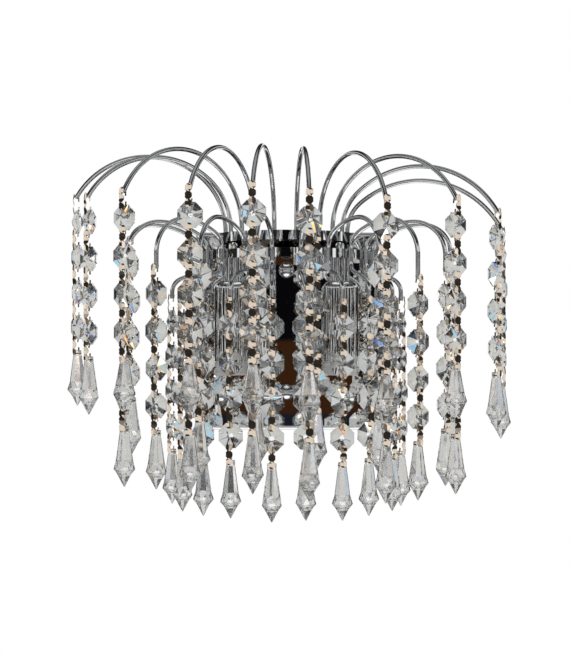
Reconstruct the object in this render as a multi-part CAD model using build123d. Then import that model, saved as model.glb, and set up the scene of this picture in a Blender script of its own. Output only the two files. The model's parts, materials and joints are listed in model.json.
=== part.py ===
from build123d import *
from math import cos, pi, radians, sin
import os

# Crystal wall sconce: a mirror-finished pan carries a two-step half-round crown. Ten tall wires stand on
# the upper step and ten double-ended wires are brazed round the lower step; a faceted glass strand hangs from
# each of the thirty wire ends. Two lampholders hang open end down from the lower step.
#
# Frame, in millimetres: the origin lies on the wall at the centre of the backplate, +Z is up, +X is to the
# right and -Y points out into the room. Places on the crown are given as a radius from the crown's axis,
# which stands on the front face of the backplate, and an angle from straight ahead, positive to the right.

# ---------------------------------------------------------------- clearances
SEAT = 0.1  # between brazed or pushed-together round faces
THREAD = 0.05  # radial, between a thread and its nut or tapped hole
HOLE = 0.3  # radial, between a screw and its clearance hole
SWING = 0.08  # radial, between a clip's wire and the hole it turns in
WALL_SETBACK = 0.2  # from the wall to what passes through the strap
CUT = 1.0  # how far a cut runs on past the face that it opens

# ---------------------------------------------------------------- backplate
PLATE_WIDTH = 128.0
PLATE_HEIGHT = 138.0
PLATE_DEPTH = 22.0
PLATE_SHEET = 1.2
PLATE_CORNER = 4.0
PLATE_EDGE = 2.5

# ---------------------------------------------------------------- wall strap and its studs
STRAP_WIDTH = 24.0
STRAP_SHEET = 1.5
STRAP_CORNER = 3.0
STRAP_END = 9.5  # from a stud to the strap's end
SLOT_INSET = 13.5  # from a stud to the middle of a slot
SLOT_LENGTH = 12.0
SLOT_WIDTH = 4.5
STUD_DROP = 6.5  # from the tray's underside to the upper stud
STUD_RADIUS = 2.0
STUD_NUT_ACROSS = 7.0
STUD_NUT_HEIGHT = 3.2
WASHER_RADIUS = 6.2
WASHER_SHEET = 1.2
DOME_RADIUS = 5.3
DOME_SKIRT = 2.4
DOME_THREAD = 5.6
CABLE_HEIGHT = -10.0
CABLE_BORE = 4.0
CABLE_HOLE = 6.2
CABLE_FLANGE = 8.0
CABLE_FLANGE_DEPTH = 2.8

# ---------------------------------------------------------------- terminals
BLOCK_WIDTH = 34.0
BLOCK_HEIGHT = 18.0
BLOCK_DEPTH = 12.5
BLOCK_CORNER = 1.0
BLOCK_BOTTOM = 0.0
WAYS = 4
WAY_PITCH = 8.0
WAY_DEPTH = 6.5  # from the strap to the axis of the ways
WAY_BORE = 1.5
TERMINAL_SCREW = 1.6
TERMINAL_SCREW_PITCH = 9.0
TERMINAL_SCREW_SUNK = 0.6  # below the block's face
TERMINAL_SLOT_WIDTH = 0.5
EARTH_PLACE = (8.2, -20.5)
EARTH_SCREW = 1.5
EARTH_HEAD = 2.8
EARTH_HEAD_HEIGHT = 1.8
TAG_RADIUS = 3.0
TAG_TONGUE = 5.2  # from the ring's centre to the end of its crimped tongue
TAG_SHEET = 0.8

# ---------------------------------------------------------------- crown
CROWN_DROP = 1.4  # from the backplate's upper edge to the top of the crown
CROWN_HEIGHT = 18.6
TRAY_RADIUS = 59.0
TRAY_RIM = 6.1
CAP_RADIUS = 47.5
CAP_RIM = 6.4
CROWN_SHEET = 1.3
TRAY_FLANGE_HEIGHT = 8.6
TRAY_FLANGE_GAP = 5.6  # from each end of the tray's back flange to a lead grommet
CAP_FLANGE_HEIGHT = 9.0
CAP_FLANGE_GAP = 7.6
CROWN_SCREW = 1.5
CROWN_SCREW_SPACING = 30.0
CROWN_SCREW_INSET = 5.2  # from the tray's underside and from the cap's top
CROWN_SCREW_PROUD = 0.6  # past its nut
CROWN_HEAD = 2.8
CROWN_HEAD_HEIGHT = 1.6
DRIVER_SLOT_WIDTH = 0.8
DRIVER_SLOT_DEPTH = 0.6
CROWN_NUT_ACROSS = 5.5
CROWN_NUT_HEIGHT = 2.4

# ---------------------------------------------------------------- wires
ROD_RADIUS = 1.5
TIP_HOLE_SETBACK = 2.0  # from the cut end of a wire to its cross hole
UPPER_FOOT_INSET = 4.7  # from the cap's edge to a wire's axis
UPPER_UPRIGHT = 1.4
UPPER_STUB = 1.25
UPPER_STUB_LENGTH = 5.0
UPPER_NUT_ACROSS = 5.0
UPPER_NUT_HEIGHT = 2.0
SHOULDER_TURN = 50.0
# one row per upper wire, left to right: foot angle, heading, shoulder radius, bow radius, lean of the tip
UPPER_WIRES = [
    (-81, -81, 49.5, 56, 28.5),
    (-63, -63, 44, 58, 30),
    (-45, -45, 48, 55, 25.5),
    (-30, -22, 46.5, 54.5, 26),
    (-11, -7, 46.5, 54.5, 26.5),
    (9, 4, 44.5, 54, 23),
    (31, 22.5, 42, 55, 22.5),
    (47, 45.6, 40.5, 60, 28.5),
    (63, 63, 33.5, 66, 30),
    (81, 81, 26, 63, 26),
]
LOWER_BRAZE_UP = 4.6  # straight length above the tray's underside
LOWER_BRAZE_DOWN = 2.5  # and below it
LOWER_ELBOW = (14.0, 60.0)  # radius and turn
LOWER_BOW = (55.0, 30.0)
LOWER_DROP_OUT = (8.0, 70.0)
LOWER_DROP_RUN = 8.0
LOWER_DROP_BACK = (10.0, 70.0)
# one row per lower wire: foot angle, upper heading, tip bend radius, tip bend turn, straight end,
# lower heading, straight lower end
LOWER_WIRES = [
    (-81, -81, 14.0, 81, 0, -81, 4.5),
    (-63, -63, 23.5, 64, 0, -55, 6.5),
    (-45, -45, 23.0, 90, 10, -38, 7.0),
    (-27, -27, 24.7, 77, 4, -27, 7.0),
    (-9, -9, 25.4, 71, 0, 0, 8.5),
    (9, 9, 25.4, 71, 0, 9, 7.5),
    (27, 32, 24.1, 85, 0, 27, 8.5),
    (45, 45, 24.0, 90, 16, 36, 7.0),
    (63, 63, 23.0, 90, 11, 63, 6.5),
    (81, 81, 19.0, 90, 0, 81, 6.0),
]

# ---------------------------------------------------------------- glass strands
OCTAGON_ACROSS = 16.0
OCTAGON_TABLE = 2.2  # the small flat in which the facets of a face meet
OCTAGON_GIRDLE = 1.2
OCTAGON_THICKNESS = 7.5
OCTAGON_HOLES = 12.2  # between the two holes
STRAND_OCTAGONS = 4
DROP_NECK = 6.2
DROP_SHOULDER = 0.7
DROP_NECK_LENGTH = 3.6
DROP_HOLE = 2.2  # below the top of the neck
DROP_FLAT = 4.0  # between the two flats that are ground on a neck for the clip
ICICLE_LENGTH = 38.0
ICICLE_WIDTH = 12.8
ICICLE_WIDEST = 27.0  # below the top
SPINDLE_LENGTH = 36.0
SPINDLE_WIDTH = 13.6
SPINDLE_WIDEST = 23.0
POINT_FLAT = 0.5
GLASS_SIDES = 8
SPINDLE_STRANDS = range(2, 8)  # the upper wires whose strands have the extra spindle

# ---------------------------------------------------------------- clips between the glass
CLIP_REACH = 11.8  # between the two wires of a clip
CLIP_SHEET = 0.7
CLIP_GAP = 0.2  # between a clip and the glass or wire that it lies against
CLIP_WIRE = 0.5
CLIP_BEND = 0.9
CLIP_LEG = 4.2
CLIP_LOBE_LENGTH = 4.8
CLIP_LOBE_WIDTH = 4.6
CLIP_WAIST = 2.2

# ---------------------------------------------------------------- lampholders
LAMP_INSET = 14.346  # from the tray's edge to a lampholder's axis
LAMP_ANGLE = 55.954  # of a lampholder's axis, either side of straight ahead
NIPPLE_RADIUS = 5.0
NIPPLE_BORE = 3.6
NIPPLE_ABOVE = 4.0  # above the tray's floor
NIPPLE_BELOW = 5.5  # below the top of the sleeve
NIPPLE_NUT_ACROSS = 13.0
NIPPLE_NUT_HEIGHT = 2.8
SPACER_RADIUS = 6.2
SPACER_LENGTH = 15.0
SLEEVE_RADIUS = 12.0
SLEEVE_LENGTH = 54.5
SLEEVE_SHEET = 0.8
SLEEVE_SHOULDER = 5.0
BODY_CLEARANCE = 0.3
BODY_BOSS = 7.0
CAVITY_RADIUS = 8.5
CAVITY_HEIGHT = 16.0
PARTITION = 3.0
SHELL_BORE = 7.0  # inside of the E14 screw shell
SHELL_SHEET = 0.4
SHELL_LENGTH = 18.2
TAB_WIDTH = 3.0
TAB_PROUD = 0.9
CONTACT_RADIUS = 3.0
CONTACT_SHEET = 1.2
CONTACT_STEM = 1.4
RIVET_HEAD = 2.6
RIVET_TOP = 1.0  # above the cavity's floor
COLLAR_NECK = 6.5
COLLAR_LENGTH = 9.5
COLLAR_BORE = 8.6
COLLAR_GROOVE = 0.7
COLLAR_GROOVE_WIDTH = 1.2
COLLAR_GROOVES = 3

# ---------------------------------------------------------------- leads
LEAD_RADIUS = 1.1
LEAD_PAIR = 2.5  # between the two leads of a lamp
LEAD_RISE = 10.5  # from the tray's underside to where the leads pass through the backplate
LEAD_BEND = 5.0
LEAD_START_RUN = 5.0  # straight up from the shell's tab
LEAD_GATHER = 1.0  # below the cavity's roof, where a lampholder's two leads come together
LEAD_TURN = 2.0  # in front of the pan's middle, where the leads turn down
LEAD_LAST_BEND = 12.0  # above the block
LEAD_ENTRY = 5.0  # into the block
GROMMET_HOLE = 4.2
GROMMET_BORE = 2.6
GROMMET_FLANGE = 5.4
GROMMET_FLANGE_SHEET = 1.2
# corners of the earth lead: right, forward and up from the nearer tag's screw and face, and the bend radius
EARTH_FIRST_CORNER = (20.0, 3.0, 0.0, 8.0)
EARTH_SECOND_CORNER = (24.0, 6.0, 35.0, 12.0)
EARTH_LAST_CORNER = (15.0, -3.0, -8.0, 5.0)

# ---------------------------------------------------------------- derived places
FACE = -PLATE_DEPTH  # front face of the backplate
FACE_INSIDE = FACE + PLATE_SHEET
CAP_TOP = PLATE_HEIGHT / 2 - CROWN_DROP
TRAY_BOTTOM = CAP_TOP - CROWN_HEIGHT
TRAY_FLOOR = TRAY_BOTTOM + CROWN_SHEET
CROWN_SCREW_HEIGHTS = (TRAY_BOTTOM + CROWN_SCREW_INSET, CAP_TOP - CROWN_SCREW_INSET)
UPPER_FOOT_RADIUS = CAP_RADIUS - UPPER_FOOT_INSET
TIP_LEAN = radians(max(row[4] for row in UPPER_WIRES))
TIP_CORNER = TIP_HOLE_SETBACK * sin(TIP_LEAN) + ROD_RADIUS * cos(TIP_LEAN)
CLIP_OVERLAP = 1.5 * CLIP_LOBE_LENGTH - CLIP_REACH / 2  # of a strip past its pin
OCTAGON_SLOPE = (OCTAGON_THICKNESS - OCTAGON_GIRDLE) / (OCTAGON_ACROSS - OCTAGON_TABLE)
OCTAGON_AT_HOLE = OCTAGON_GIRDLE / 2 + (OCTAGON_ACROSS - OCTAGON_HOLES) / 2 * OCTAGON_SLOPE
OCTAGON_AT_STRIP = OCTAGON_AT_HOLE + CLIP_OVERLAP * OCTAGON_SLOPE
CLIP_STANDOFF = max(OCTAGON_AT_STRIP, DROP_FLAT / 2, TIP_CORNER) + CLIP_GAP
CLIP_LEG_OFFSET = max(OCTAGON_AT_HOLE, DROP_FLAT / 2) + CLIP_GAP + CLIP_WIRE
STUD_HEIGHT = TRAY_BOTTOM - STUD_DROP
LEAD_HEIGHT = TRAY_BOTTOM + LEAD_RISE
LAMP_X = (TRAY_RADIUS - LAMP_INSET) * sin(radians(LAMP_ANGLE))
LAMP_Y = FACE - (TRAY_RADIUS - LAMP_INSET) * cos(radians(LAMP_ANGLE))
SLEEVE_TOP = TRAY_BOTTOM - SPACER_LENGTH
SLEEVE_BOTTOM = SLEEVE_TOP - SLEEVE_LENGTH
SLEEVE_BORE = SLEEVE_RADIUS - SLEEVE_SHEET
BODY_TOP = SLEEVE_TOP - SLEEVE_SHEET - SEAT
BODY_BOTTOM = SLEEVE_BOTTOM + COLLAR_NECK + SEAT
CAVITY_TOP = BODY_TOP - BODY_BOSS
CAVITY_BOTTOM = CAVITY_TOP - CAVITY_HEIGHT
PARTITION_BOTTOM = CAVITY_BOTTOM - PARTITION
BLOCK_TOP = BLOCK_BOTTOM + BLOCK_HEIGHT
WAY_Y = -STRAP_SHEET - WAY_DEPTH
SIDES = (-1, 1)


def tube(outer, inner, bottom, top):
    """An upright tube."""
    profile = Circle(outer) - Circle(inner)
    return extrude(Pos(0, 0, bottom) * profile, amount=top - bottom)


def disc(radius, bottom, top):
    """An upright round bar."""
    return extrude(Pos(0, 0, bottom) * Circle(radius), amount=top - bottom)


def facing(x, z, y=0.0):
    """A place whose own +Z points out into the room."""
    return Location(Plane(origin=(x, y, z), x_dir=(1, 0, 0), z_dir=(0, -1, 0)))


def hex_nut(across, height, bore):
    """A hexagon nut that stands on its own XY plane."""
    corner = across / 2 / cos(pi / 6)
    return extrude(RegularPolygon(corner, 6) - Circle(bore), amount=height)


def outward(heading):
    """The level direction that a heading points in."""
    return Vector(sin(radians(heading)), -cos(radians(heading)), 0)


def crown_point(radius, angle, height):
    """A point at a radius from the crown's axis."""
    return Vector(0, FACE, height) + outward(angle) * radius


def upright_plane(origin, heading):
    """A vertical plane whose x runs outwards along the heading and whose y runs up."""
    along = outward(heading)
    return Plane(origin=origin, x_dir=along, z_dir=along.cross(Vector(0, 0, 1)))


# ---------------------------------------------------------------- wall side


def make_backplate():
    """The pan: one pressed sheet, open to the wall."""
    outer = extrude(facing(0, 0) * RectangleRounded(PLATE_WIDTH, PLATE_HEIGHT, PLATE_CORNER), PLATE_DEPTH)
    outer = fillet(outer.faces().sort_by(Axis.Y)[0].edges(), PLATE_EDGE)
    hollow = RectangleRounded(
        PLATE_WIDTH - 2 * PLATE_SHEET,
        PLATE_HEIGHT - 2 * PLATE_SHEET,
        PLATE_CORNER - PLATE_SHEET,
    )
    inner = extrude(facing(0, 0) * hollow, PLATE_DEPTH - PLATE_SHEET)
    inner = fillet(inner.faces().sort_by(Axis.Y)[0].edges(), PLATE_EDGE - PLATE_SHEET)
    pan = outer - inner
    through = 3 * PLATE_SHEET
    for side in SIDES:
        place = facing(0, side * STUD_HEIGHT, FACE)
        pan -= place * Cylinder(STUD_RADIUS + HOLE, through)
        place = facing(side * LAMP_X, LEAD_HEIGHT, FACE)
        pan -= place * Cylinder(GROMMET_HOLE, through)
        for height in CROWN_SCREW_HEIGHTS:
            place = facing(side * CROWN_SCREW_SPACING / 2, height, FACE)
            pan -= place * Cylinder(CROWN_SCREW + HOLE, through)
    return pan


def make_wall_strap():
    """The flat strap that is screwed to the wall through two upright slots."""
    blank = RectangleRounded(STRAP_WIDTH, 2 * (STUD_HEIGHT + STRAP_END), STRAP_CORNER)
    for side in SIDES:
        slot = SlotOverall(SLOT_LENGTH, SLOT_WIDTH, rotation=90)
        blank -= Pos(0, side * (STUD_HEIGHT - SLOT_INSET)) * slot
        blank -= Pos(0, side * STUD_HEIGHT) * Circle(STUD_RADIUS + THREAD)
    blank -= Pos(0, CABLE_HEIGHT) * Circle(CABLE_HOLE)
    blank -= Pos(*EARTH_PLACE) * Circle(EARTH_SCREW + THREAD)
    return extrude(facing(0, 0) * blank, STRAP_SHEET)


def make_studs():
    """Two threaded studs that stand out of the strap and through the backplate."""
    stud = disc(STUD_RADIUS, WALL_SETBACK, PLATE_DEPTH + WASHER_SHEET + DOME_THREAD - SEAT)
    return [facing(0, side * STUD_HEIGHT) * stud for side in SIDES]


def make_stud_nuts():
    """Two plain nuts that lock the studs to the strap."""
    nut = hex_nut(STUD_NUT_ACROSS, STUD_NUT_HEIGHT, STUD_RADIUS + THREAD)
    return [facing(0, side * STUD_HEIGHT, -STRAP_SHEET) * nut for side in SIDES]


def make_washers():
    """Two flat washers under the domed nuts."""
    ring = extrude(Circle(WASHER_RADIUS) - Circle(STUD_RADIUS + HOLE), WASHER_SHEET)
    return [facing(0, side * STUD_HEIGHT, FACE) * ring for side in SIDES]


def make_domed_nuts():
    """Two blind ball-headed nuts."""
    ball = Pos(0, 0, DOME_SKIRT) * Sphere(DOME_RADIUS)
    ball &= disc(2 * DOME_RADIUS, DOME_SKIRT, DOME_SKIRT + DOME_RADIUS)
    nut = disc(DOME_RADIUS, 0, DOME_SKIRT) + ball
    nut -= disc(STUD_RADIUS + THREAD, -CUT, DOME_THREAD)
    return [facing(0, side * STUD_HEIGHT, FACE - WASHER_SHEET) * nut for side in SIDES]


def make_cable_grommet():
    """The flanged ring that the supply cable comes through."""
    barrel = Circle(CABLE_HOLE - SEAT) - Circle(CABLE_BORE)
    flange = Circle(CABLE_FLANGE) - Circle(CABLE_BORE)
    ring = extrude(Pos(0, 0, WALL_SETBACK) * barrel, STRAP_SHEET)
    ring += extrude(Pos(0, 0, STRAP_SHEET) * flange, CABLE_FLANGE_DEPTH)
    return facing(0, CABLE_HEIGHT) * ring


def way_places():
    """The x of each way."""
    return [(way - (WAYS - 1) / 2) * WAY_PITCH for way in range(WAYS)]


def screw_heights():
    """The two clamp screws of each way."""
    middle = BLOCK_BOTTOM + BLOCK_HEIGHT / 2
    return [middle + side * TERMINAL_SCREW_PITCH / 2 for side in SIDES]


def make_terminal_block():
    """A block with a hole along each way and two screw wells into it."""
    outline = RectangleRounded(BLOCK_WIDTH, BLOCK_HEIGHT, BLOCK_CORNER)
    place = facing(0, BLOCK_BOTTOM + BLOCK_HEIGHT / 2, -STRAP_SHEET)
    block = extrude(place * outline, BLOCK_DEPTH)
    well = disc(TERMINAL_SCREW + THREAD, 0, BLOCK_DEPTH - WAY_DEPTH + CUT)
    for x in way_places():
        block -= Pos(x, WAY_Y, 0) * disc(WAY_BORE, BLOCK_BOTTOM - CUT, BLOCK_TOP + CUT)
        for z in screw_heights():
            block -= facing(x, z, WAY_Y) * well
    return block


def driver_slot(radius, top, width):
    """The cut for a screwdriver across a screw's head."""
    return Pos(0, 0, top) * Box(2 * radius, width, 2 * DRIVER_SLOT_DEPTH)


def make_terminal_screws():
    """The clamp screws, each just clear of the lead below it."""
    top = BLOCK_DEPTH - WAY_DEPTH - TERMINAL_SCREW_SUNK
    screw = disc(TERMINAL_SCREW, LEAD_RADIUS + SEAT, top)
    screw -= driver_slot(TERMINAL_SCREW, top, TERMINAL_SLOT_WIDTH)
    return [facing(x, z, WAY_Y) * screw for x in way_places() for z in screw_heights()]


def make_earth_screw():
    """The pan-head screw that holds the earth lead's tag on the strap."""
    top = TAG_SHEET + EARTH_HEAD_HEIGHT
    screw = disc(EARTH_SCREW, WALL_SETBACK - STRAP_SHEET, TAG_SHEET) + disc(EARTH_HEAD, TAG_SHEET, top)
    screw -= driver_slot(EARTH_HEAD, top, DRIVER_SLOT_WIDTH)
    x, z = EARTH_PLACE
    return facing(x, z, -STRAP_SHEET) * screw


# ---------------------------------------------------------------- crown


def half_disc(radius, bottom, height):
    """A half-round slab against the backplate."""
    front = Pos(0, -radius) * Rectangle(2 * radius, 2 * radius)
    return extrude(Pos(0, FACE, bottom) * (Circle(radius) & front), height)


def back_flange(gap, bottom, height):
    """An upright strip that lies on the backplate and ends this far from the lead grommets."""
    width = 2 * (LAMP_X - GROMMET_FLANGE - gap)
    strip = Pos(0, bottom + height / 2) * Rectangle(width, height)
    return extrude(facing(0, 0, FACE) * strip, CROWN_SHEET)


def flange_holes(height):
    """The pair of screw holes through a flange."""
    hole = Cylinder(CROWN_SCREW + HOLE, 4 * CROWN_SHEET)
    return [facing(side * CROWN_SCREW_SPACING / 2, height, FACE) * hole for side in SIDES]


def make_tray():
    """The lower step: a half-round floor with an upturned rim and a back flange."""
    tray = half_disc(TRAY_RADIUS, TRAY_BOTTOM, TRAY_RIM)
    tray -= half_disc(TRAY_RADIUS - CROWN_SHEET, TRAY_FLOOR, TRAY_RIM)
    tray += back_flange(TRAY_FLANGE_GAP, TRAY_BOTTOM, TRAY_FLANGE_HEIGHT)
    for hole in flange_holes(CROWN_SCREW_HEIGHTS[0]):
        tray -= hole
    for side in SIDES:
        hole = disc(NIPPLE_RADIUS + SEAT, TRAY_BOTTOM - CUT, TRAY_FLOOR + CUT)
        tray -= Pos(side * LAMP_X, LAMP_Y) * hole
    return tray


def make_cap():
    """The upper step: a half-round top with a downturned rim and a back flange."""
    rim_bottom = CAP_TOP - CAP_RIM
    cap = half_disc(CAP_RADIUS, rim_bottom, CAP_RIM)
    cap -= half_disc(CAP_RADIUS - CROWN_SHEET, rim_bottom - CROWN_SHEET, CAP_RIM)
    cap += back_flange(CAP_FLANGE_GAP, CAP_TOP - CAP_FLANGE_HEIGHT, CAP_FLANGE_HEIGHT)
    for hole in flange_holes(CROWN_SCREW_HEIGHTS[1]):
        cap -= hole
    for foot, *_ in UPPER_WIRES:
        hole = disc(UPPER_STUB + THREAD, CAP_TOP - 2 * CROWN_SHEET, CAP_TOP + CUT)
        place = crown_point(UPPER_FOOT_RADIUS, foot, 0)
        cap -= Pos(place.X, place.Y) * hole
    return cap


def crown_screw_places():
    """The four screws that hold the crown, as x and z."""
    return [(side * CROWN_SCREW_SPACING / 2, z) for z in CROWN_SCREW_HEIGHTS for side in SIDES]


def make_crown_screws():
    """Pan-head screws from the front, through flange and backplate."""
    end = -PLATE_SHEET - TAG_SHEET - CROWN_NUT_HEIGHT - CROWN_SCREW_PROUD
    top = CROWN_SHEET + CROWN_HEAD_HEIGHT
    screw = disc(CROWN_SCREW, end, CROWN_SHEET) + disc(CROWN_HEAD, CROWN_SHEET, top)
    screw -= driver_slot(CROWN_HEAD, top, DRIVER_SLOT_WIDTH)
    return [facing(x, z, FACE) * screw for x, z in crown_screw_places()]


def make_crown_nuts():
    """Nuts inside the pan; the lower right one also clamps the earth lead's tag."""
    nut = hex_nut(CROWN_NUT_ACROSS, CROWN_NUT_HEIGHT, CROWN_SCREW + THREAD)
    nuts = []
    for x, z in crown_screw_places():
        under = TAG_SHEET if (x, z) == earth_tag_place() else 0
        nuts.append(facing(x, z, FACE_INSIDE + under + CROWN_NUT_HEIGHT) * nut)
    return nuts


def earth_tag_place():
    """The crown screw that the earth lead's upper tag goes on."""
    return CROWN_SCREW_SPACING / 2, CROWN_SCREW_HEIGHTS[0]


# ---------------------------------------------------------------- wires


def rod(start, direction, steps):
    """A bent rod in its own plane. Each step is a straight length or a (radius, turn) bend.

    Returns the rod, its end point and its end direction in degrees above the outward axis."""
    point = Vector(*start)
    edges = []
    for step in steps:
        tangent = Vector(cos(radians(direction)), sin(radians(direction)))
        if isinstance(step, tuple):
            edge = JernArc(start=point, tangent=tangent, radius=step[0], arc_size=step[1])
            direction += step[1]
        else:
            edge = Line(point, point + tangent * step)
        edges.append(edge)
        point = edge @ 1
    path = Wire(edges)
    section = Plane(origin=path @ 0, z_dir=path % 0) * Circle(ROD_RADIUS)
    return sweep(section, path=path), point, direction


def cross_hole(end, direction):
    """The level hole near a rod's end: where it is, and the drill that makes it."""
    back = Vector(cos(radians(direction)), sin(radians(direction))) * TIP_HOLE_SETBACK
    place = end - back
    drill = Pos(place.X, place.Y) * Rot(0, 90, 0) * Cylinder(CLIP_WIRE + SWING, 6 * ROD_RADIUS)
    return place, drill


def upper_wire(foot, heading, shoulder, bow, lean):
    """A tall wire that stands on the cap. Returns it and the place its strand hangs from."""
    steps = [UPPER_UPRIGHT, (shoulder, -SHOULDER_TURN), (bow, SHOULDER_TURN + lean - 180)]
    wire, end, direction = rod((0, 0), 90, steps)
    place, drill = cross_hole(end, direction)
    wire -= drill
    wire += Rot(90, 0, 0) * disc(UPPER_STUB, 0, UPPER_STUB_LENGTH)
    plane = upright_plane(crown_point(UPPER_FOOT_RADIUS, foot, CAP_TOP), heading)
    return plane.location * wire, plane.from_local_coords(place)


def make_upper_nuts():
    """A nut under the cap on each upper wire's stub."""
    nut = hex_nut(UPPER_NUT_ACROSS, UPPER_NUT_HEIGHT, UPPER_STUB + THREAD)
    top = CAP_TOP - CROWN_SHEET
    places = [crown_point(UPPER_FOOT_RADIUS, foot, top - UPPER_NUT_HEIGHT) for foot, *_ in UPPER_WIRES]
    return [Location(place) * nut for place in places]


def lower_wire(foot, heading, tip_radius, tip_turn, tip_run, low_heading, low_run):
    """A double-ended wire brazed to the tray's rim. Returns it and the places of its two strands."""
    middle = TRAY_BOTTOM + (LOWER_BRAZE_UP - LOWER_BRAZE_DOWN) / 2
    half = (LOWER_BRAZE_UP + LOWER_BRAZE_DOWN) / 2
    origin = crown_point(TRAY_RADIUS + SEAT + ROD_RADIUS, foot, middle)
    elbow, elbow_turn = LOWER_ELBOW
    bow, bow_turn = LOWER_BOW
    up = [half, (elbow, -elbow_turn), (bow, -bow_turn), (tip_radius, -tip_turn)]
    if tip_run:
        up.append(tip_run)
    out, back = LOWER_DROP_OUT, LOWER_DROP_BACK
    down = [half, out, LOWER_DROP_RUN, (back[0], -back[1]), low_run]
    halves = []
    places = []
    for steps, direction, turn in ((up, 90, heading), (down, -90, low_heading)):
        wire, end, last = rod((0, 0), direction, steps)
        place, drill = cross_hole(end, last)
        plane = upright_plane(origin, turn)
        halves.append(plane.location * (wire - drill))
        places.append(plane.from_local_coords(place))
    return halves[0] + halves[1], *places


# ---------------------------------------------------------------- glass strands


def cut_glass(profile):
    """Glass cut to flats about its own Z, from (height, width across flats) pairs, lowest first."""
    rings = []
    for height, across in profile:
        corner = across / 2 / cos(pi / GLASS_SIDES)
        angles = [(k + 0.5) * 2 * pi / GLASS_SIDES for k in range(GLASS_SIDES)]
        rings.append([Vector(corner * cos(a), corner * sin(a), height) for a in angles])
    faces = [Face(Wire.make_polygon(rings[0])), Face(Wire.make_polygon(rings[-1]))]
    for low, high in zip(rings, rings[1:]):
        for k in range(GLASS_SIDES):
            n = (k + 1) % GLASS_SIDES
            faces.append(Face(Wire.make_polygon([low[k], low[n], high[n], high[k]])))
    return Solid(Shell(faces))


def pin_hole(height):
    """The drill for a clip's wire, through the glass from front to back."""
    return Pos(0, 0, height) * Rot(0, 90, 0) * Cylinder(CLIP_WIRE + SWING, 4 * CLIP_STANDOFF)


def make_octagon():
    """A flat octagon whose faces rise in eight facets to a small table, centred on its own middle."""
    girdle = OCTAGON_GIRDLE / 2
    half = OCTAGON_THICKNESS / 2
    profile = [
        (-half, OCTAGON_TABLE),
        (-girdle, OCTAGON_ACROSS),
        (girdle, OCTAGON_ACROSS),
        (half, OCTAGON_TABLE),
    ]
    glass = Rot(0, 90, 0) * cut_glass(profile)
    return glass - pin_hole(OCTAGON_HOLES / 2) - pin_hole(-OCTAGON_HOLES / 2)


def neck(top, sign):
    """The three widths of a drop's neck, from its end towards its belly."""
    return [
        (top, DROP_NECK - DROP_SHOULDER),
        (top - sign * DROP_SHOULDER, DROP_NECK),
        (top - sign * DROP_NECK_LENGTH, DROP_NECK),
    ]


def neck_flats(hole, sign):
    """The two cuts that flatten a neck from its end to just past the clip's strip."""
    length = DROP_HOLE + CLIP_OVERLAP + CLIP_GAP + CUT
    middle = hole + sign * (DROP_HOLE + CUT - length / 2)
    cut = Box(DROP_NECK, 2 * DROP_NECK, length)
    return [Pos(side * (DROP_FLAT + DROP_NECK) / 2, 0, middle) * cut for side in SIDES]


def make_icicle():
    """The pointed drop at the foot of a strand, with its hole at the origin."""
    top = DROP_HOLE
    profile = [(top - ICICLE_LENGTH, POINT_FLAT), (top - ICICLE_WIDEST, ICICLE_WIDTH)]
    profile += reversed(neck(top, 1))
    return cut_glass(profile) - neck_flats(0, 1) - pin_hole(0)


def make_spindle():
    """The long drop with a hole at each end, its upper hole at the origin."""
    top = DROP_HOLE
    profile = neck(top - SPINDLE_LENGTH, -1)
    profile.append((top - SPINDLE_WIDEST, SPINDLE_WIDTH))
    profile += reversed(neck(top, 1))
    low = 2 * DROP_HOLE - SPINDLE_LENGTH
    glass = cut_glass(profile) - neck_flats(0, 1) - neck_flats(low, -1)
    return glass - pin_hole(0) - pin_hole(low)


def clip_outline():
    """Half of the strip's edge, from its lower end to its upper end."""
    points = []
    for lobe in (-1, 0, 1):
        for step, across in ((-0.5, CLIP_WAIST), (-0.25, CLIP_LOBE_WIDTH), (0.25, CLIP_LOBE_WIDTH)):
            points.append((across / 2, (lobe + step) * CLIP_LOBE_LENGTH))
    points.append((CLIP_WAIST / 2, 1.5 * CLIP_LOBE_LENGTH))
    return points


def make_clip():
    """A stamped strip of three lobes with a wire at each end, passed through and folded back.

    Its upper wire's axis is at the origin; the strip faces outwards, along +X."""
    right = clip_outline()
    left = [(-across, height) for across, height in reversed(right)]
    strip = make_face(Polyline(*right, *left, close=True))
    middle = -CLIP_REACH / 2
    face = Plane(origin=(CLIP_STANDOFF, 0, middle), x_dir=(0, 1, 0), z_dir=(1, 0, 0))
    clip = extrude(face.location * strip, CLIP_SHEET)
    root = CLIP_STANDOFF + CLIP_SHEET / 2
    for end, inward in ((0, -1), (-CLIP_REACH, 1)):
        corner = (-CLIP_LEG_OFFSET, 0, end)
        tip = (-CLIP_LEG_OFFSET, 0, end + inward * CLIP_LEG)
        path = FilletPolyline((root, 0, end), corner, tip, radius=CLIP_BEND)
        section = Plane(origin=path @ 0, z_dir=path % 0) * Circle(CLIP_WIRE)
        clip += sweep(section, path=path)
    return clip


OCTAGON = make_octagon()
ICICLE = make_icicle()
SPINDLE = make_spindle()
CLIP = make_clip()


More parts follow.
